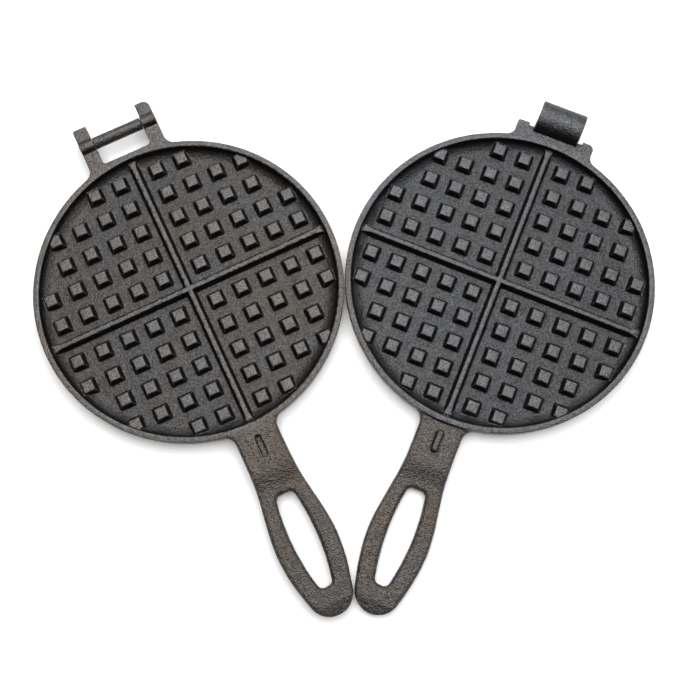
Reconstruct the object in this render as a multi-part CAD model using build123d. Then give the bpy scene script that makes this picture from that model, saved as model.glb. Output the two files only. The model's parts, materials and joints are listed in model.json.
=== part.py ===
from build123d import *
import math
import os

# Stovetop waffle iron: two round cast-iron plates that hook together at the back.
# All sizes are in millimetres and degrees.
# The frame's origin is the middle of the bar plate's underside, on the stove or table.
# +Y runs from its handle to its hinge, and +Z is up, out of its cooking face.
# It is shown as it is laid out to be greased or stored: both cooking faces up, unhooked,
# in a V with the rims and the handle ends side by side.

# The round plates, alike on both castings
plate_radius = 95.0
plate_depth = 13.4            # underside to rim
rim_width = 3.7
rim_edge_radius = 0.8
floor_thickness = 5.6
wall_sweep = 8.5              # how far the hollow's curved wall comes in from the rim
base_edge_radius = 7.0

# The square pegs that make the waffle's pockets: pegs in each row of a quarter
peg_rows = (5, 5, 4, 4, 2)
peg_pitch = 16.8
first_peg = 12.5              # from the middle of the dividing rib
peg_top = 6.7
peg_height = 5.3
peg_draft = 17.0
peg_edge_radius = 0.5

# The crossed ribs that divide the waffle in four
rib_top = 2.7
rib_height = 5.4
rib_draft = 16.0
rib_flare = 1.2               # how far each side of the rib's top spreads at its ends
rib_flare_length = 9.0
rib_end_gap = 1.5             # from the rib's end to the rim's inner edge

# Handles
handle_length = 120.0         # from the plate's edge to the tip
neck_width = 27.2
neck_flat = 24.0              # length of the level neck
neck_straight = 8.0           # length of its level sides
neck_fillet = 8.0
waist_width = 28.4
waist_at = 33.0               # all places along the handle are from the plate's edge
belly_width = 38.4
belly_at = 74.0
tip_radius = 14.0
tip_lean = 16.0               # of the grip's sides where the round tip begins
handle_thickness = 6.6
handle_drop = 3.2             # the grip's top lies this far under the neck's
handle_slope_length = 17.0
handle_edge_radius = 2.4
tip_bevel_length = 7.5
tip_bevel_drop = 2.4
loop_from = 43.0
loop_length = 59.5
loop_width = 15.8
loop_near_width = 11.0        # of the end towards the plate
loop_far_width = 7.8
loop_corner_radius = 3.6
loop_edge_radius = 2.7

# Key and slot in the necks, which keep the handles in line when the iron is shut
key_width = 2.6               # at the top
key_length = 12.0
key_draft = 9.0
key_corner_radius = 0.8
key_from = 6.0                # from the plate's edge
key_proud = 1.9               # above the rims' meeting plane
slot_clearance = 0.35
slot_depth = 2.6
hook_neck_step = 3.0          # the hook plate's neck lies this far under its rim

# Hinge: a cross bar between two arms, and a hook that hangs on it
shut_gap = 0.3                # between the rims when the iron is shut
bar_radius = 3.8
bar_reach = 15.0              # from the plate's edge to the bar's axis
journal_radius = 2.0
journal_length = 6.0
running_clearance = 0.05
end_play = 0.3
arm_spread = 51.0             # across the outsides of the two arms
arm_width = 9.3
arm_thickness = 6.4
arm_fillet = 6.5
window_from = 0.4             # from the plate's edge to the window
window_corner_radius = 2.5
horn_length = 13.0            # past the bar's axis
horn_width = 8.8
horn_rise = 1.0               # above the rim
left_horn_round = 1.4
right_horn_round = 4.4
hook_width = 28.5
hook_clearance = 0.5
hook_foot = 12.0              # from the bar's axis to the front of the hook's foot
hook_lip = 4.2
hook_lip_round = 1.2
root_width = 50.4
root_reach = 5.2
root_thickness = 6.4
root_fillet = 5.5
ledge_reach = 7.0             # the lower ledge between the lugs
ledge_drop = 2.6
lug_width = 7.4
lug_reach = 7.6
left_lug_round = 1.2
right_lug_round = 3.4

# Layout at rest
spread_angle = 23.75          # each plate turns this far out of the V's middle line
rest_gap = 0.7                # between the two rims

# Worked out from the sizes above
rim_inner_radius = plate_radius - rim_width
peg_base = peg_top + 2 * peg_height * math.tan(math.radians(peg_draft))
rib_base = rib_top + 2 * rib_height * math.tan(math.radians(rib_draft))
bar_y = plate_radius + bar_reach
bar_z = plate_depth + shut_gap / 2
arm_inner = arm_spread / 2 - arm_width
tip_y = -plate_radius - handle_length
embed = 0.6                   # how far joined shapes reach into each other
root_inset = 0.08             # rounded roots end this far inside the rim's side, to cross it cleanly
web_radius = plate_radius - root_inset
out_and_up = (Align.CENTER, Align.MIN, Align.MIN)   # how boxes sit on their places
hair = 0.1                    # slack when an edge is picked out by where it lies


def plate():
    """The round dish alone, turned from one profile: underside, rim and hollow."""
    rim_top = plate_depth
    edge = rim_edge_radius
    half = edge * (1 - math.sqrt(0.5))
    corner = base_edge_radius
    corner_half = corner * (1 - math.sqrt(0.5))
    wall_height = plate_depth - edge - floor_thickness
    profile = Polyline((0, floor_thickness), (0, 0), (plate_radius - corner, 0))
    profile += ThreePointArc(
        (plate_radius - corner, 0), (plate_radius - corner_half, corner_half), (plate_radius, corner)
    )
    profile += Line((plate_radius, corner), (plate_radius, rim_top - edge))
    profile += ThreePointArc(
        (plate_radius, rim_top - edge),
        (plate_radius - half, rim_top - half),
        (plate_radius - edge, rim_top),
    )
    profile += Line((plate_radius - edge, rim_top), (rim_inner_radius + edge, rim_top))
    profile += ThreePointArc(
        (rim_inner_radius + edge, rim_top),
        (rim_inner_radius + half, rim_top - half),
        (rim_inner_radius, rim_top - edge),
    )
    profile += EllipticalCenterArc(
        (rim_inner_radius - wall_sweep, rim_top - edge), wall_sweep, wall_height, 270, arc_size=90
    )
    profile += Line((rim_inner_radius - wall_sweep, floor_thickness), (0, floor_thickness))
    return revolve(make_face(Plane.XZ * profile), Axis.Z)


def peg():
    """One peg: a square block drawn in to its top, with the edges of its top rounded."""
    depth = embed
    grow = 2 * depth * math.tan(math.radians(peg_draft))
    block = extrude(Rectangle(peg_base + grow, peg_base + grow), peg_height + depth, taper=peg_draft)
    block = Pos(0, 0, floor_thickness - depth) * block
    sides = [e for e in block.edges() if e.bounding_box().size.Z > peg_height / 2]
    block = fillet(sides, peg_edge_radius)
    return fillet(block.faces().sort_by(Axis.Z)[-1].edges(), peg_edge_radius)


def pegs():
    """Every peg of one plate, cut off where the hollow's wall takes over."""
    one = peg()
    inside = extrude(Circle(plate_radius - rim_width / 2), plate_depth)
    found = []
    for row, count in enumerate(peg_rows):
        for column in range(count):
            x = first_peg + column * peg_pitch
            y = first_peg + row * peg_pitch
            for side_x in (-1, 1):
                for side_y in (-1, 1):
                    copy = Pos(side_x * x, side_y * y, 0) * one
                    if math.hypot(x + peg_base / 2, y + peg_base / 2) > rim_inner_radius:
                        copy = copy & inside
                    found.append(copy)
    return found


def ribs():
    """The two crossed ribs, which spread a little and stop just short of the wall's top."""
    reach = rim_inner_radius - rib_end_gap
    depth = embed
    half_base = rib_base / 2 + depth * math.tan(math.radians(rib_draft))
    bottom = floor_thickness - depth
    top = floor_thickness + rib_height
    half_top = rib_top / 2
    section = Polyline(
        (-half_base, bottom), (half_base, bottom), (half_top, top), (-half_top, top), close=True
    )
    half_inner = half_top / 2
    half_end = half_top + rib_flare
    spread = Polyline(
        (reach - rib_flare_length, -half_inner),
        (reach, -half_end),
        (reach, half_end),
        (reach - rib_flare_length, half_inner),
        close=True,
    )
    made = []
    for turn in (0, 90):
        made.append(Rot(0, 0, turn) * extrude(make_face(Plane.XZ * section), reach, both=True))
    for turn in (0, 90, 180, 270):
        made.append(Rot(0, 0, turn) * Pos(0, 0, bottom) * extrude(make_face(spread), top - bottom))
    return made


def grip_outline():
    """The handle seen from above: neck, waist, belly and round tip."""
    tip_centre = tip_y + tip_radius
    lean = math.radians(tip_lean)
    end = (tip_radius * math.cos(lean), tip_centre - tip_radius * math.sin(lean))
    start_y = -plate_radius - neck_straight
    inner_y = -plate_radius + rim_width
    side = [
        (neck_width / 2, start_y),
        (waist_width / 2, -plate_radius - waist_at),
        (belly_width / 2, -plate_radius - belly_at),
        end,
    ]
    left = [(-x, y) for x, y in side]
    tangents = [(0, -1), (-math.sin(lean), -math.cos(lean))]
    left_tangents = [(-x, y) for x, y in tangents]
    curve = Line((neck_width / 2, inner_y), side[0])
    curve += Spline(side, tangents=tangents)
    curve += ThreePointArc(end, (0, tip_y), left[-1])
    curve += Spline(left, tangents=left_tangents)
    curve += Polyline(left[0], (-neck_width / 2, inner_y), (neck_width / 2, inner_y))
    outline = Circle(web_radius) + make_face(curve)
    corners = [v for v in outline.vertices() if v.Y < 0]
    corners = [v for v in corners if abs(math.hypot(v.X, v.Y) - web_radius) < hair]
    outline = fillet(corners, neck_fillet) - Circle(rim_inner_radius + rim_edge_radius)
    # each root is cut off where its rounding has just met the rim
    root_end = (neck_width / 2 + neck_fillet) * web_radius / (web_radius + neck_fillet) - 2 * hair
    reach = plate_radius + handle_length + embed
    return outline & Pos(0, -reach / 2) * Rectangle(2 * root_end, reach)


def grip_profile(step):
    """The handle seen from the side: level neck, slope down, level grip."""
    inner = -plate_radius + rim_width
    slope_top = -plate_radius - neck_flat
    slope_end = slope_top - handle_slope_length
    past = tip_y - embed
    top = plate_depth - step
    heights = [(top, top - handle_drop), (top - handle_thickness, top - handle_drop - handle_thickness)]
    outline = Line((inner, heights[0][0]), (inner, heights[1][0]))
    outline += Line((past, heights[0][1]), (past, heights[1][1]))
    for high, low in heights:
        outline += Line((inner, high), (slope_top, high))
        outline += Spline([(slope_top, high), (slope_end, low)], tangents=[(-1, 0), (-1, 0)])
        outline += Line((slope_end, low), (past, low))
    return make_face(Plane.YZ * outline)


def loop():
    """The long hole in the grip: two bowed sides that draw together, and rounded ends."""
    near = -plate_radius - loop_from
    far = near - loop_length
    middle = (near + far) / 2
    half_near, half, half_far = loop_near_width / 2, loop_width / 2, loop_far_width / 2
    curve = ThreePointArc((half_near, near), (half, middle), (half_far, far))
    curve += Line((half_far, far), (-half_far, far))
    curve += ThreePointArc((-half_far, far), (-half, middle), (-half_near, near))
    curve += Line((-half_near, near), (half_near, near))
    shape = make_face(curve)
    return fillet(shape.vertices(), loop_corner_radius)


def tip_bevel(step):
    """The wedge that is off the top of the grip's tip."""
    low = plate_depth - step - handle_drop
    from_y = tip_y + tip_bevel_length
    wedge = Polyline(
        (from_y, low), (from_y, low + embed), (tip_y - embed, low + embed),
        (tip_y - embed, low - tip_bevel_drop), close=True,
    )
    return extrude(make_face(Plane.YZ * wedge), belly_width, both=True)


def outer_edges(grip):
    """The long edges round the outside of the grip, without the ones across it."""
    found = []
    for edge in grip.edges():
        box = edge.bounding_box()
        upright = box.size.X < hair
        across = edge.geom_type == GeomType.LINE and box.size.X > neck_width / 3
        middle = edge.position_at(0.5)
        in_rim = math.hypot(middle.X, middle.Y) < web_radius + hair
        if not upright and not across and not in_rim and box.min.Y > tip_y - embed:
            found.append(edge)
    return found


def loop_edges(grip):
    """The edges round the loop, on the grip's top and underside."""
    near = -plate_radius - loop_from + hair
    far = near - loop_length - 2 * hair
    found = []
    for edge in grip.edges():
        box = edge.bounding_box()
        level = box.size.Z < handle_drop
        inside = max(abs(box.min.X), abs(box.max.X)) < loop_width / 2 + hair
        if level and inside and far < box.min.Y and box.max.Y < near:
            found.append(edge)
    return found


def handle(step):
    """The neck and grip of one casting, with its neck stepped down from the rim."""
    grip = extrude(grip_outline(), plate_depth) & extrude(grip_profile(step), plate_radius, both=True)
    grip = fillet(outer_edges(grip), handle_edge_radius) - tip_bevel(step)
    grip = grip - extrude(loop(), plate_depth)
    return fillet(loop_edges(grip), loop_edge_radius)


def casting(step):
    """What both castings share: dish, pegs, ribs and handle in one piece."""
    dish = plate()
    return dish.fuse(*pegs(), *ribs(), handle(step))


def edge_outline(width, reach, corner_fillet):
    """A square-cornered tab on the plate's back edge, with its roots rounded into the rim."""
    tab = Pos(0, (plate_radius + reach) / 2) * Rectangle(width, plate_radius + reach)
    outline = Circle(web_radius) + tab
    roots = [v for v in outline.vertices() if abs(v.X) < width and 0 < v.Y < web_radius]
    return fillet(roots, corner_fillet) - Circle(rim_inner_radius + rim_edge_radius)


def along_x(radius, start, end):
    """A round bar on the hinge's axis from one place across the plate to another."""
    bar = Cylinder(radius, end - start, rotation=(0, 90, 0))
    return Pos((start + end) / 2, bar_y, bar_z) * bar


def key_block(clearance, tall):
    """The key, or the slot that it drops into: a block with drawn-in sides and its top at z = 0."""
    widen = tall * math.tan(math.radians(key_draft))
    across = key_width + 2 * (clearance + widen)
    along = key_length + 2 * (clearance + widen)
    foot = RectangleRounded(across, along, key_corner_radius + widen)
    key_y = -plate_radius - key_from - key_length / 2
    return Pos(0, key_y, -tall) * extrude(foot, tall, taper=key_draft)


def arm_and_horn(side, round_off):
    """What one arm carries: the horn that stops the other casting's lug, and the bar's boss."""
    middle = side * (arm_spread - horn_width) / 2
    slab = Pos(middle, bar_y + horn_length / 2) * Rectangle(horn_width, horn_length)
    outer = [v for v in slab.vertices() if v.Y > bar_y + hair and side * v.X > side * middle]
    horn = extrude(fillet(outer, round_off), arm_thickness + horn_rise)
    ends = sorted((side * arm_inner, side * arm_spread / 2))
    return [Pos(0, 0, plate_depth - arm_thickness) * horn, along_x(bar_radius, *ends)]


def bar_plate():
    """The lower casting: dish, slotted neck, two arms that hold the bar, and their horns."""
    body = casting(0)
    arms = extrude(edge_outline(arm_spread, bar_reach, arm_fillet), arm_thickness)
    arms = Pos(0, 0, plate_depth - arm_thickness) * arms
    window_start = plate_radius + window_from
    window_length = bar_y + horn_length - window_start + embed
    window = Rectangle(2 * arm_inner, window_length)
    near = [v for v in window.vertices() if v.Y < 0]
    window = extrude(fillet(near, window_corner_radius), 2 * plate_depth)
    window = Pos(0, window_start + window_length / 2) * window
    horns = arm_and_horn(-1, left_horn_round) + arm_and_horn(1, right_horn_round)
    body = body.fuse(arms, *horns) - window
    bore_end = arm_inner + journal_length + end_play
    body = body - along_x(journal_radius + running_clearance, -bore_end, bore_end)
    # the slot is the key upside down, wide at the neck's face
    slot = Pos(0, 0, plate_depth - slot_depth) * mirror(key_block(slot_clearance, slot_depth), Plane.XY)
    return body - slot


def hinge_bar():
    """The round bar that the hook hangs on, with a journal at each end."""
    half = arm_inner - end_play
    return along_x(bar_radius, -half, half).fuse(
        along_x(journal_radius, -half - journal_length, half + journal_length)
    )


def hook():
    """The hook on its root: a thick arc over the bar that thins to its lip."""
    bore = bar_radius + hook_clearance
    front = bar_y - hook_foot
    lip_end = bar_y + bore + hook_lip
    outer_radius = (lip_end - front) / 2
    inner_foot = bar_y - bore
    low = plate_depth - root_thickness / 2
    section = Line((front, low), (front, bar_z))
    section += ThreePointArc((front, bar_z), (front + outer_radius, bar_z + outer_radius), (lip_end, bar_z))
    section += Line((lip_end, bar_z), (bar_y + bore, bar_z))
    section += ThreePointArc((bar_y + bore, bar_z), (bar_y, bar_z + bore), (inner_foot, bar_z))
    section += Polyline((inner_foot, bar_z), (inner_foot, low), (front, low))
    face = make_face(Plane.YZ * section)
    lip = [v for v in face.vertices() if v.Y > bar_y]
    return extrude(fillet(lip, hook_lip_round), hook_width / 2, both=True)


def lug(side, round_off):
    """One of the two lugs beside the hook, which meet the other casting's horns when it is wide open."""
    inset = rim_width / 2
    middle = (side * (root_width - lug_width) / 2, plate_radius + (lug_reach - inset) / 2)
    shape = Pos(*middle) * Rectangle(lug_width, lug_reach + inset)
    outer = [v for v in shape.vertices() if v.Y > plate_radius and side * v.X > side * middle[0]]
    return Pos(0, 0, plate_depth - root_thickness) * extrude(fillet(outer, round_off), root_thickness)


def hook_plate():
    """The upper casting: dish, stepped neck with its key, and the hook between two lugs."""
    body = casting(hook_neck_step)
    low = plate_depth - root_thickness
    root = Pos(0, 0, low) * extrude(edge_outline(root_width, root_reach, root_fillet), root_thickness)
    ledge_width = root_width - lug_width
    ledge = Box(ledge_width, ledge_reach + embed, root_thickness - ledge_drop, align=out_and_up)
    ledge = Pos(0, plate_radius - embed, low) * ledge
    block_start = rim_inner_radius + rim_edge_radius
    block_end = bar_y - bar_radius - hook_clearance
    block = Box(hook_width, block_end - block_start, root_thickness, align=out_and_up)
    block = Pos(0, block_start, low) * block
    lugs = [lug(-1, left_lug_round), lug(1, right_lug_round)]
    body = body.fuse(root, ledge, block, hook(), *lugs)
    neck_top = plate_depth - hook_neck_step
    key_top = plate_depth + shut_gap + key_proud
    return body.fuse(Pos(0, 0, key_top) * key_block(0, key_top - neck_top + embed))


# Lay the hook plate beside the bar plate, mirrored in the V's middle line
centre_distance = 2 * plate_radius + rest_gap
spread = math.radians(spread_angle)
beside = Pos(centre_distance * math.cos(spread), -centre_distance * math.sin(spread), 0)
beside = beside * Rot(0, 0, -2 * spread_angle)

os.makedirs("parts", exist_ok=True)
parts = {
    "bar_plate": bar_plate(),
    "hinge_bar": hinge_bar(),
    "hook_plate": beside * hook_plate(),
}
for name, shape in parts.items():
    solids = shape.solids()
    whole = solids[0] if len(solids) == 1 else Compound(solids)
    export_step(whole, f"parts/{name}.step")
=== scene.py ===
"""Stovetop waffle iron, dressed: two sand-cast iron plates laid out in a V on a white table.

Laid out as an add-on and run as a script. Sizes are in metres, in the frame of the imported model.
"""

import json
import math

import bpy
import numpy as np
from mathutils import Matrix, Vector


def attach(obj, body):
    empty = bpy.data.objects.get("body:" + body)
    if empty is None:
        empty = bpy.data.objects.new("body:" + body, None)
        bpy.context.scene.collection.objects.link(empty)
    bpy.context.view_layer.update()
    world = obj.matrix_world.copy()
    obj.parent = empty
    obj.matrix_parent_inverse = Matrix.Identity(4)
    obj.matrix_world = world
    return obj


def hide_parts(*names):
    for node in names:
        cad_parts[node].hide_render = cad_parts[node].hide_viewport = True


bl_info = {
    "name": "Stovetop waffle iron",
    "version": (1, 0, 0),
    "blender": (4, 5, 0),
    "location": "View3D > Sidebar > Waffle Iron",
    "description": "Sand-cast skins, seasoned finish and stage for a stovetop waffle iron",
    "category": "Object",
}

MM = 0.001

# how coarse the castings are beside the bar and hook, where 1 is a handle
SMOOTH_END = 0.3
# the rim, over which the sand's mark goes from fine to coarse, from each plate's centre
RIM_FROM = 90.0 * MM
RIM_BAND = 8.0 * MM
# the width of the band across a plate's middle over which its two ends differ
MIDDLE_BAND = 60.0 * MM
# how warm the oil film looks on each piece and on both handles, from 0 to 1
FILM_WARMTH = {"bar_plate": 0.45, "hook_plate": 0.05, "hinge_bar": 0.4}
HANDLE_WARMTH = 0.75
# painted shade on the floor of the hollows, from 0 to 1, and the height over the table where it has
# gone
FLOOR_SHADE = 0.6
FLOOR_TOP = 8.5 * MM
FLOOR_BAND = 2.0 * MM
# a normal's height, where 1 is straight up, for the painted shade on steep walls: faces count as steep
# from the first number down, wholly so at the second, and not at all once they face down
STEEP_FROM = 0.8
STEEP_AT = 0.45
FACES_DOWN = -0.1
# sine waves in each soft noise, and the seeds of the two noises
WAVE_COUNT = 28
WAVE_SEED = 11
LUMP_SEED = 23
# pixels across the image
IMAGE_WIDTH = 680

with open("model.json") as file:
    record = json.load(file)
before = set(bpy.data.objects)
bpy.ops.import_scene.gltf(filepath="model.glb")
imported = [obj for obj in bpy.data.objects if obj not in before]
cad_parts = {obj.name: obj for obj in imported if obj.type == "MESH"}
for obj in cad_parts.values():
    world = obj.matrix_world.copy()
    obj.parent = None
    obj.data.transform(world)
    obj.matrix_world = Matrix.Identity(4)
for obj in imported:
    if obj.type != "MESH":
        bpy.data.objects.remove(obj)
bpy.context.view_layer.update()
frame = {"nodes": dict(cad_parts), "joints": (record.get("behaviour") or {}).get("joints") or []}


# --- Sizes and colours that a user would change ---------------------------------------------


class WaffleIronCasting(bpy.types.PropertyGroup):
    """How the mould left the iron: softness of edges, waviness and grain"""

    voxel: bpy.props.FloatProperty(
        name="Skin cell", description="Cell size of the skin that is drawn over each casting",
        default=0.44 * MM, unit="LENGTH",
    )
    bar_voxel: bpy.props.FloatProperty(
        name="Bar's skin cell", description="Cell size of the skin on the thin cross bar",
        default=0.25 * MM, unit="LENGTH",
    )
    soften: bpy.props.IntProperty(
        name="Softening", description="Passes that round the edges as sand moulding does", default=1,
    )
    triangles: bpy.props.IntProperty(
        name="Triangles", description="Most triangles in one casting's skin", default=192000,
    )
    wave_height: bpy.props.FloatProperty(
        name="Waviness", description="Height of the slow waves that a sand mould leaves",
        default=0.05 * MM, unit="LENGTH",
    )
    wave_length: bpy.props.FloatProperty(
        name="Wave length", description="Usual distance between those waves",
        default=9.0 * MM, unit="LENGTH",
    )
    lump_height: bpy.props.FloatProperty(
        name="Lumps", description="Height of the small lumps between sand grains",
        default=0.06 * MM, unit="LENGTH",
    )
    lump_length: bpy.props.FloatProperty(
        name="Lump spacing", description="Usual distance between those lumps",
        default=2.2 * MM, unit="LENGTH",
    )
    edge_reach: bpy.props.FloatProperty(
        name="Edge reach", description="How far a point stands out on a fully rubbed edge",
        default=0.2 * MM, unit="LENGTH",
    )


class WaffleIronFinish(bpy.types.PropertyGroup):
    """Colours and grain of the baked-on seasoning"""

    iron: bpy.props.StringProperty(
        name="Iron", description="Oiled black-grey iron under the gloss, as sRGB hex",
        default="#101010",
    )
    rust_brown: bpy.props.StringProperty(
        name="Warm patches", description="Browner seasoning in patches, as sRGB hex",
        default="#1a1512",
    )
    # dark colour for darker smears of seasoning, and for the painted shade in corners, on steep walls
    # and low on the hollows' floor
    dark_smears_and_shade: bpy.props.StringProperty(
        name="Deep", description="Thick dark seasoning low in the hollows, as sRGB hex",
        default="#080808",
    )
    worn: bpy.props.StringProperty(
        name="Rubbed edges", description="Paler iron on rubbed edges, as sRGB hex", default="#383634",
    )
    cool_film: bpy.props.StringProperty(
        name="Cool film", description="Tint of the thin oil film's gloss, as sRGB hex",
        default="#f4f7ff",
    )
    warm_film: bpy.props.StringProperty(
        name="Warm film", description="Tint of the thick oil film's gloss, as sRGB hex",
        default="#fff0e0",
    )
    grain: bpy.props.FloatProperty(
        name="Grain", description="Width of one mark of the mould's sand, wide enough to show",
        default=0.85 * MM, unit="LENGTH",
    )
    patch: bpy.props.FloatProperty(
        name="Patch", description="Width of one patch of warmer seasoning",
        default=34.0 * MM, unit="LENGTH",
    )


class WaffleIronStage(bpy.types.PropertyGroup):
    """Camera and light, as in the reference view"""

    azimuth: bpy.props.FloatProperty(
        name="Azimuth", description="Turn of the camera from the V's middle line",
        default=math.radians(-2.65), subtype="ANGLE",
    )
    elevation: bpy.props.FloatProperty(
        name="Elevation", description="Height of the camera over the table, as an angle",
        default=math.radians(79.15), subtype="ANGLE",
    )
    roll: bpy.props.FloatProperty(
        name="Roll", description="Turn of the camera about its own line of sight",
        default=math.radians(-1.0), subtype="ANGLE",
    )
    distance: bpy.props.FloatProperty(
        name="Distance", description="From the camera to the point it looks at",
        default=0.6237, unit="LENGTH",
    )
    focal_px: bpy.props.FloatProperty(
        name="Focal length", description="In widths of one pixel of a 680 pixel image", default=1026.2,
    )
    aim_across: bpy.props.FloatProperty(
        name="Aim across", description="Aim point, across from the point between the plates",
        default=-3.8 * MM, unit="LENGTH",
    )
    aim_along: bpy.props.FloatProperty(
        name="Aim along", description="Aim point, along the V's middle line",
        default=-34.9 * MM, unit="LENGTH",
    )
    aim_height: bpy.props.FloatProperty(
        name="Aim height", description="Aim point, over the table", default=10.9 * MM, unit="LENGTH",
    )
    key_width: bpy.props.FloatProperty(
        name="Light width", description="Side of the large soft light overhead",
        default=1.5, unit="LENGTH",
    )
    key_height: bpy.props.FloatProperty(
        name="Light height", description="Of the light over the table", default=1.2, unit="LENGTH",
    )
    key_back: bpy.props.FloatProperty(
        name="Light set back", description="Of the light's middle, towards the hook and bar",
        default=0.35, unit="LENGTH",
    )
    key_watts: bpy.props.FloatProperty(
        name="Light power", description="Of the light overhead, in watts", default=33.0,
    )
    card_distance: bpy.props.FloatProperty(
        name="Card distance", description="From the iron to the pale cards behind and beside it",
        default=1.4, unit="LENGTH",
    )
    card_height: bpy.props.FloatProperty(
        name="Card height", description="Of the cards' middles over the table",
        default=0.65, unit="LENGTH",
    )
    card_width: bpy.props.FloatProperty(
        name="Card width", description="Side of each square card", default=1.2, unit="LENGTH",
    )
    card_watts: bpy.props.FloatProperty(
        name="Card power", description="Of each card, in watts", default=7.0,
    )
    table_half: bpy.props.FloatProperty(
        name="Table", description="Half the side of the table", default=0.9, unit="LENGTH",
    )
    fill: bpy.props.FloatProperty(
        name="Fill", description="Strength of the dim room's own light", default=0.03,
    )


# --- Small helpers --------------------------------------------------------------------------


def linear(hex_colour):
    """An sRGB hex colour as linear red, green, blue and alpha."""
    parts = [int(hex_colour[i : i + 2], 16) / 255 for i in (1, 3, 5)]
    return tuple(c / 12.92 if c <= 0.04045 else ((c + 0.055) / 1.055) ** 2.4 for c in parts) + (1.0,)


def add_node(tree, kind, settings=None, links=None, values=None):
    """Adds a node, sets its properties and input values, and links other sockets to its inputs."""
    node = tree.nodes.new(kind)
    for key, value in (settings or {}).items():
        setattr(node, key, value)
    for key, value in (values or {}).items():
        node.inputs[key].default_value = value
    for key, socket in (links or {}).items():
        tree.links.new(socket, node.inputs[key])
    return node


def new_tree(name):
    """An empty material with its output node."""
    material = bpy.data.materials.new(name)
    material.use_nodes = True
    tree = material.node_tree
    tree.nodes.clear()
    return material, tree, tree.nodes.new("ShaderNodeOutputMaterial")


def waves(points, length, seed):
    """Soft noise, nearly all of it from -1 to 1, from sine waves in random directions.

    value = sqrt(2 / count) * sum of sin(direction_k . point * 2 pi / length_k + phase_k) / 1.6,
    where length_k is 0.7 to 1.5 times the usual length.
    """
    count = WAVE_COUNT
    rng = np.random.default_rng(seed)
    directions = rng.normal(size=(count, 3))
    directions /= np.linalg.norm(directions, axis=1, keepdims=True)
    lengths = length * rng.uniform(0.7, 1.5, count)
    phases = rng.uniform(0, 2 * math.pi, count)
    total = np.zeros(len(points))
    for direction, one, phase in zip(directions, lengths, phases):
        total += np.sin(points @ direction * (2 * math.pi / one) + phase)
    return total * math.sqrt(2 / count) / 1.6


def read_points(mesh):
    """A mesh's points as an array of shape (points, 3)."""
    flat = np.empty(len(mesh.vertices) * 3)
    mesh.vertices.foreach_get("co", flat)
    return flat.reshape(-1, 3)


def read_normals(mesh):
    """A mesh's point normals as an array of shape (points, 3)."""
    flat = np.empty(len(mesh.vertices) * 3, np.float32)
    mesh.vertex_normals.foreach_get("vector", flat)
    return flat.reshape(-1, 3).astype(float)


def neighbour_mean(mesh, values, passes):
    """Each point's value replaced by the mean of itself and its edge neighbours, several times."""
    ends = np.empty(len(mesh.edges) * 2, np.int64)
    mesh.edges.foreach_get("vertices", ends)
    first, second = ends[0::2], ends[1::2]
    size = len(mesh.vertices)
    degree = np.bincount(first, minlength=size) + np.bincount(second, minlength=size) + 1
    for _ in range(passes):
        total = values.copy()
        for column in range(values.shape[1]):
            total[:, column] += np.bincount(first, values[second, column], size)
            total[:, column] += np.bincount(second, values[first, column], size)
        values = total / degree[:, None]
    return values


def store(mesh, name, values):
    """Keeps one number from 0 to 1 for each point, for the material to read."""
    layer = mesh.attributes.new(name, "FLOAT", "POINT")
    layer.data.foreach_set("value", np.clip(values, 0, 1).astype(np.float32))


def show(name, mesh, body):
    """Makes a smooth object of a mesh, gives it the finish and lets it ride on a body."""
    piece = bpy.data.objects.new(name, mesh)
    bpy.context.scene.collection.objects.link(piece)
    mesh.polygons.foreach_set("use_smooth", np.full(len(mesh.polygons), True))
    mesh.materials.clear()
    mesh.materials.append(bpy.data.materials["sand_cast_seasoned_iron"])
    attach(piece, body)
    return piece


# --- The castings' skins --------------------------------------------------------------------


def cast_skin(node_name, casting, cell):
    """One casting as the mould left it.

    A closed skin is drawn over a copy of the casting in equal cells, its edges are rounded by
    averaging neighbours, and every point moves along its normal by
    wave_height * waves(wave_length) + lump_height * waves(lump_length), twice as much on the
    handles as on the plates, and never out of the casting's own box. The skin is thinned last,
    so that it keeps most of its triangles where it bends. The finish reads the numbers that
    are kept on its points.
    """
    source = frame["nodes"][node_name]
    copy = bpy.data.objects.new(node_name + "_copy", source.data.copy())
    bpy.context.scene.collection.objects.link(copy)
    weld = copy.modifiers.new("weld", "WELD")
    weld.merge_threshold = 0.002 * MM  # only joins the loose triangles' own corners
    remesh = copy.modifiers.new("skin", "REMESH")
    remesh.mode = "VOXEL"
    remesh.voxel_size = cell
    remesh.adaptivity = 0.0
    smooth = copy.modifiers.new("soften", "SMOOTH")
    smooth.factor = 0.5
    smooth.iterations = casting.soften
    mesh = evaluated(copy)
    points = read_points(mesh)
    normals = read_normals(mesh)
    coarse = coarseness(node_name, points)
    move = casting.wave_height * waves(points, casting.wave_length, WAVE_SEED)
    move += casting.lump_height * waves(points, casting.lump_length, LUMP_SEED)
    points = points + normals * (move * (0.5 + 0.5 * coarse))[:, None]
    move_points(mesh, points, source.data)
    proud = wear_of(mesh)
    store(mesh, "rubbed", proud / casting.edge_reach)
    # inside corners, which the finish darkens as painted shade
    store(mesh, "hollow", -proud / casting.edge_reach)
    store(mesh, "coarse", coarse)
    # painted shade on steep walls and low on the floor of the hollows
    store(mesh, "painted_hollow_shade", painted_hollow_shade(node_name, mesh, coarse))
    warmth = FILM_WARMTH[node_name]
    store(mesh, "warmth", warmth + (HANDLE_WARMTH - warmth) * coarse)
    faces = len(mesh.polygons) * 2
    if faces > casting.triangles:
        full = bpy.data.objects.new(node_name + "_full", mesh)
        bpy.context.scene.collection.objects.link(full)
        thin = full.modifiers.new("thin", "DECIMATE")
        thin.ratio = casting.triangles / faces
        mesh = evaluated(full)
        move_points(mesh, read_points(mesh), source.data)
    return mesh


def move_points(mesh, points, within):
    """Puts a mesh's points at new places, held inside the box of another mesh."""
    box = read_points(within)
    points = np.clip(points, box.min(0), box.max(0))
    mesh.vertices.foreach_set("co", points.ravel())
    mesh.update()


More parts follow.
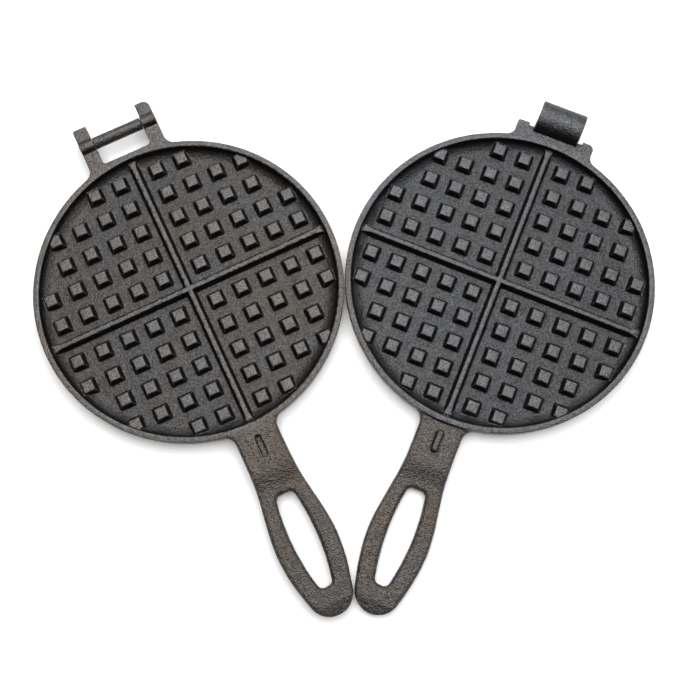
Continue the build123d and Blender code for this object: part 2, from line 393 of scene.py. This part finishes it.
def evaluated(piece):
    """The mesh of an object with its modifiers applied; the object itself is taken out."""
    graph = bpy.context.evaluated_depsgraph_get()
    mesh = bpy.data.meshes.new_from_object(piece.evaluated_get(graph))
    bpy.data.objects.remove(piece)
    return mesh


def coarseness(node_name, points):
    """How coarse the sand's mark is, from 0 on the hollow plates to 1 on the handles.

    With t the way over the rim, from 0 to 1, it rises as t * t * (3 - 2 * t), and only to
    SMOOTH_END on the side of the bar and hook.
    """
    if node_name == "hinge_bar":
        return np.full(len(points), SMOOTH_END)
    centre, toward_handle = plate_frames()[node_name]
    offset = points[:, :2] - centre
    distance = np.hypot(offset[:, 0], offset[:, 1])
    rise = np.clip((distance - RIM_FROM) / RIM_BAND, 0, 1)
    side = np.clip(0.5 + offset @ toward_handle / MIDDLE_BAND, SMOOTH_END, 1)
    return rise * rise * (3 - 2 * rise) * side


def painted_hollow_shade(node_name, mesh, coarse):
    """How much painted shade a point gets, from 0 to 1: steep faces in the hollow all, its floor some.

    Steepness is read from the normal's height, the floor from the point's own height.
    """
    if node_name == "hinge_bar":
        return np.zeros(len(mesh.vertices))
    height = read_points(mesh)[:, 2]
    lean = read_normals(mesh)[:, 2]
    # painted shade: steep walls in full, the low floor in part
    steep = np.clip((STEEP_FROM - lean) / (STEEP_FROM - STEEP_AT), 0, 1) * (lean > FACES_DOWN)
    low = np.clip((FLOOR_TOP - height) / FLOOR_BAND, 0, 1)
    return np.maximum(steep, FLOOR_SHADE * low) * (1 - coarse)


def turn_over_joint():
    """The joint that lies between the plates; its axis points to the handles."""
    return next(joint for joint in frame["joints"] if joint["name"] == "turn_over")


def plate_frames():
    """Each plate's centre and the direction of its handle, seen from above.

    The bar's plate has its centre at the origin and its handle towards -Y; the other mirrors
    it in the line through the turn-over point.
    """
    turn_over = turn_over_joint()
    middle = np.array(turn_over["pos_m"][:2])
    line = np.array(turn_over["axis"][:2])
    line = line / np.linalg.norm(line)
    handle = np.array((0.0, -1.0))
    return {
        "bar_plate": (np.zeros(2), handle),
        "hook_plate": (2 * middle, 2 * (handle @ line) * line - handle),
    }


def wear_of(mesh):
    """How far each point stands out from its neighbours: over 0 on edges, where hands and the
    other plate rub, and under 0 in corners. It is measured along the point's normal, from the
    mean of the points round it.
    """
    points = read_points(mesh)
    normals = read_normals(mesh)
    spread = neighbour_mean(mesh, points, 8)
    proud = ((points - spread) * normals).sum(1)
    return neighbour_mean(mesh, proud[:, None], 2)[:, 0]


class IRON_OT_castings(bpy.types.Operator):
    """Draws the sand-cast skins over both plates and the cross bar"""

    bl_idname = "iron.castings"
    bl_label = "Castings"

    def execute(self, context):
        casting = context.scene.waffle_iron_casting
        for node_name in ("bar_plate", "hook_plate", "hinge_bar"):
            cell = casting.bar_voxel if node_name == "hinge_bar" else casting.voxel
            mesh = cast_skin(node_name, casting, cell)
            piece = show(node_name + "_casting", mesh, node_name)
            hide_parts(node_name)
        return {"FINISHED"}


# --- The finish -----------------------------------------------------------------------------


def spread_of(tree, value, low, high, out_low, out_high):
    """A socket stretched from one range of numbers to another, and held at the ends."""
    return add_node(
        tree, "ShaderNodeMapRange", links={"Value": value},
        values={"From Min": low, "From Max": high, "To Min": out_low, "To Max": out_high},
    ).outputs[0]


def mixed(tree, amount, first, second):
    """Two colours, each a socket or an sRGB hex, mixed by a socket from 0 to 1."""
    links, values = {0: amount}, {}
    for key, colour in ((6, first), (7, second)):
        if isinstance(colour, str):
            values[key] = linear(colour)
        else:
            links[key] = colour
    return add_node(tree, "ShaderNodeMix", {"data_type": "RGBA"}, links, values).outputs[2]


def noise(tree, place, size, detail, roughness):
    """Blender's noise with one cell of a real size; places come in mm."""
    return add_node(
        tree, "ShaderNodeTexNoise", links={"Vector": place},
        values={"Scale": MM / size, "Detail": detail, "Roughness": roughness},
    ).outputs["Fac"]


def attribute(tree, name):
    """One number kept on the piece's points."""
    return add_node(tree, "ShaderNodeAttribute", {"attribute_name": name}).outputs["Fac"]


def seasoned_iron(finish):
    """Grey iron cast in sand and baked with oil until it is black under a satin film.

    The baked oil is a clear skin over dark iron, so nearly all that is seen is its gloss: the
    base is close to black and not metallic. Iron oxide in the film gives it a higher index than
    plain oil has. The sand leaves a worm-like grain under the film, coarser on the handles than
    on the plates, which are cast against finer sand. Real grains are about 0.2 to 0.4 mm, too
    fine to show, so the marks are drawn as wide as the finish's grain says. Thick film tints
    the gloss warm and thin film cool, and rubbed edges show paler iron. Painted shade darkens
    inside corners, and darkens and dims the gloss of steep walls and the floor in the hollows.
    """
    _, tree, output = new_tree("sand_cast_seasoned_iron")
    metres = add_node(tree, "ShaderNodeTexCoord").outputs["Object"]
    place = add_node(
        tree, "ShaderNodeVectorMath", {"operation": "SCALE"},
        links={0: metres}, values={"Scale": 1 / MM},
    ).outputs[0]
    grain = noise(tree, place, finish.grain, 1.5, 0.5)
    clumps = noise(tree, place, 2.6 * finish.grain, 2.0, 0.5)
    patches = noise(tree, place, finish.patch, 4.0, 0.55)
    smears = noise(tree, place, finish.patch / 6, 3.0, 0.6)
    rubbed, hollow = attribute(tree, "rubbed"), attribute(tree, "hollow")
    coarse, warmth = attribute(tree, "coarse"), attribute(tree, "warmth")
    painted_shade = attribute(tree, "painted_hollow_shade")
    patchy = spread_of(tree, patches, 0.38, 0.62, -0.25, 0.25)
    warm_amount = add_node(
        tree, "ShaderNodeMath", {"operation": "ADD", "use_clamp": True},
        links={0: patchy, 1: warmth},
    ).outputs[0]
    base = mixed(tree, warm_amount, finish.iron, finish.rust_brown)
    base = mixed(tree, spread_of(tree, smears, 0.38, 0.68, 0.0, 0.5), base, finish.dark_smears_and_shade)
    # painted shade: inside corners darkened towards the dark colour
    base = mixed(tree, spread_of(tree, hollow, 0.1, 0.8, 0.0, 0.8), base, finish.dark_smears_and_shade)
    # painted shade: steep walls and the low floor of the hollows drawn in the dark colour
    base = mixed(tree, painted_shade, base, finish.dark_smears_and_shade)
    base = mixed(tree, spread_of(tree, rubbed, 0.45, 1.0, 0.0, 0.8), base, finish.worn)
    film = mixed(tree, warm_amount, finish.cool_film, finish.warm_film)
    dull = spread_of(tree, smears, 0.3, 0.7, 0.38, 0.5)
    # the film lies thinner and less glossy in some grains than in others, and painted shade on steep
    # walls and low floors dims its gloss
    gloss = spread_of(tree, grain, 0.3, 0.7, 0.25, 0.8)
    clear = spread_of(tree, painted_shade, 0.0, 1.0, 1.0, 0.3)
    gloss = add_node(
        tree, "ShaderNodeMath", {"operation": "MULTIPLY"}, links={0: gloss, 1: clear},
    ).outputs[0]
    depth = spread_of(tree, coarse, 0.0, 1.0, 0.55, 1.0)
    fine = add_node(
        tree, "ShaderNodeBump", links={"Height": grain, "Strength": depth},
        values={"Distance": 0.6 * MM},
    )
    lumpy = add_node(
        tree, "ShaderNodeBump", links={"Height": clumps, "Strength": depth, "Normal": fine.outputs[0]},
        values={"Distance": 0.55 * MM},
    )
    shader = add_node(
        tree, "ShaderNodeBsdfPrincipled",
        links={
            "Base Color": base,
            "Roughness": dull,
            "Specular IOR Level": gloss,
            "Specular Tint": film,
            "Normal": lumpy.outputs[0],
        },
        values={"Metallic": 0.0, "IOR": 1.7},
    )
    tree.links.new(shader.outputs[0], output.inputs["Surface"])


class IRON_OT_finish(bpy.types.Operator):
    """Makes the seasoned cast-iron finish"""

    bl_idname = "iron.finish"
    bl_label = "Seasoned finish"

    def execute(self, context):
        seasoned_iron(context.scene.waffle_iron_finish)
        return {"FINISHED"}


# --- Stage ----------------------------------------------------------------------------------


def area_light(name, place, aim, width, watts, tint):
    """A soft square light at a place, turned to face a point."""
    lamp = bpy.data.lights.new(name, "AREA")
    lamp.shape = "SQUARE"
    lamp.size = width
    lamp.energy = watts
    lamp.color = linear(tint)[:3]
    holder = bpy.data.objects.new(name, lamp)
    bpy.context.scene.collection.objects.link(holder)
    holder.location = place
    holder.rotation_euler = (aim - place).to_track_quat("-Z", "Y").to_euler()


def white_table(half, colour, lift):
    """A flat square of the table: matt white, a little lifted where the camera itself sees it.

    It lies a hair under the castings, so that their flat bases don't share its plane.
    """
    under = -0.05 * MM
    corners = [(x * half, y * half, under) for x, y in ((-1, -1), (1, -1), (1, 1), (-1, 1))]
    mesh = bpy.data.meshes.new("table")
    mesh.from_pydata(corners, [], [(0, 1, 2, 3)])
    material, tree, output = new_tree("matt_white_table")
    seen = add_node(tree, "ShaderNodeLightPath").outputs["Is Camera Ray"]
    matt = add_node(tree, "ShaderNodeBsdfDiffuse", values={"Color": linear(colour)})
    glow = add_node(
        tree, "ShaderNodeEmission", links={"Strength": seen}, values={"Color": linear(lift)},
    )
    both = add_node(tree, "ShaderNodeAddShader", links={0: matt.outputs[0], 1: glow.outputs[0]})
    tree.links.new(both.outputs[0], output.inputs["Surface"])
    mesh.materials.append(material)
    table = bpy.data.objects.new("table", mesh)
    bpy.context.scene.collection.objects.link(table)


def white_room(strength):
    """A dim room that the camera itself sees as white."""
    world = bpy.data.worlds.new("white_room")
    bpy.context.scene.world = world
    world.use_nodes = True
    tree = world.node_tree
    tree.nodes.clear()
    output = tree.nodes.new("ShaderNodeOutputWorld")
    seen = add_node(tree, "ShaderNodeLightPath").outputs["Is Camera Ray"]
    dim = add_node(tree, "ShaderNodeBackground", values={"Strength": strength})
    dim.inputs["Color"].default_value = linear("#f4f6ff")
    white = add_node(tree, "ShaderNodeBackground", values={"Color": (1, 1, 1, 1), "Strength": 1.0})
    choice = add_node(
        tree, "ShaderNodeMixShader", links={0: seen, 1: dim.outputs[0], 2: white.outputs[0]},
    )
    tree.links.new(choice.outputs[0], output.inputs["Surface"])


class IRON_OT_stage(bpy.types.Operator):
    """Sets the table, lights and camera"""

    bl_idname = "iron.stage"
    bl_label = "Stage"

    def execute(self, context):
        stage = context.scene.waffle_iron_stage
        turn_over = turn_over_joint()
        middle = Vector(turn_over["pos_m"])
        along = -Vector(turn_over["axis"]).normalized()
        across = Vector((along.y, -along.x, 0))
        aim = Vector((middle.x, middle.y, stage.aim_height))
        aim += across * stage.aim_across + along * stage.aim_along
        back = across * math.cos(stage.elevation) * math.sin(stage.azimuth)
        back -= along * math.cos(stage.elevation) * math.cos(stage.azimuth)
        back += Vector((0, 0, math.sin(stage.elevation)))
        level = across * math.cos(stage.azimuth) + along * math.sin(stage.azimuth)
        upward = back.cross(level)
        cos_roll, sin_roll = math.cos(stage.roll), math.sin(stage.roll)
        right = level * cos_roll - upward * sin_roll
        up = level * sin_roll + upward * cos_roll
        pose = Matrix((right, up, back)).transposed().to_4x4()
        pose.translation = aim + back * stage.distance
        camera = bpy.data.cameras.new("camera")
        camera.lens = camera.sensor_width * stage.focal_px / IMAGE_WIDTH
        holder = bpy.data.objects.new("camera", camera)
        context.scene.collection.objects.link(holder)
        holder.matrix_world = pose
        context.scene.camera = holder
        white_table(stage.table_half, "#f4f4f5", "#303030")
        white_room(stage.fill)
        above = middle + along * stage.key_back
        high = above + Vector((0, 0, stage.key_height))
        area_light("key", high, above, stage.key_width, stage.key_watts, "#fffefc")
        # pale cards behind and to the right, which draw the thin bright lines on far edges
        for name, way in (("back_card", along), ("right_card", across)):
            card = middle + way * stage.card_distance + Vector((0, 0, stage.card_height))
            area_light(name, card, middle, stage.card_width, stage.card_watts, "#f8faff")
        context.scene.view_settings.view_transform = "Standard"
        return {"FINISHED"}


# --- Panel and registration -----------------------------------------------------------------


class IRON_PT_panel(bpy.types.Panel):
    """Lists the iron's sizes, colours and steps"""

    bl_label = "Waffle Iron"
    bl_idname = "IRON_PT_panel"
    bl_space_type = "VIEW_3D"
    bl_region_type = "UI"
    bl_category = "Waffle Iron"

    def draw(self, context):
        for group in (
            context.scene.waffle_iron_casting,
            context.scene.waffle_iron_finish,
            context.scene.waffle_iron_stage,
        ):
            box = self.layout.box()
            for name in group.__annotations__:
                box.prop(group, name)
        for operator in OPERATORS:
            self.layout.operator(operator.bl_idname)


GROUPS = {
    "waffle_iron_casting": WaffleIronCasting,
    "waffle_iron_finish": WaffleIronFinish,
    "waffle_iron_stage": WaffleIronStage,
}
OPERATORS = (IRON_OT_finish, IRON_OT_castings, IRON_OT_stage)


def register():
    """Registers the property groups, operators and panel."""
    for name, group in GROUPS.items():
        bpy.utils.register_class(group)
        setattr(bpy.types.Scene, name, bpy.props.PointerProperty(type=group))
    for operator in OPERATORS:
        bpy.utils.register_class(operator)
    bpy.utils.register_class(IRON_PT_panel)


def unregister():
    """Takes everything off again."""
    bpy.utils.unregister_class(IRON_PT_panel)
    for operator in reversed(OPERATORS):
        bpy.utils.unregister_class(operator)
    for name, group in GROUPS.items():
        delattr(bpy.types.Scene, name)
        bpy.utils.unregister_class(group)


def main():
    """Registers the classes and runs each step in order."""
    register()
    bpy.ops.iron.finish()
    bpy.ops.iron.castings()
    bpy.ops.iron.stage()


if __name__ == "__main__":
    main()
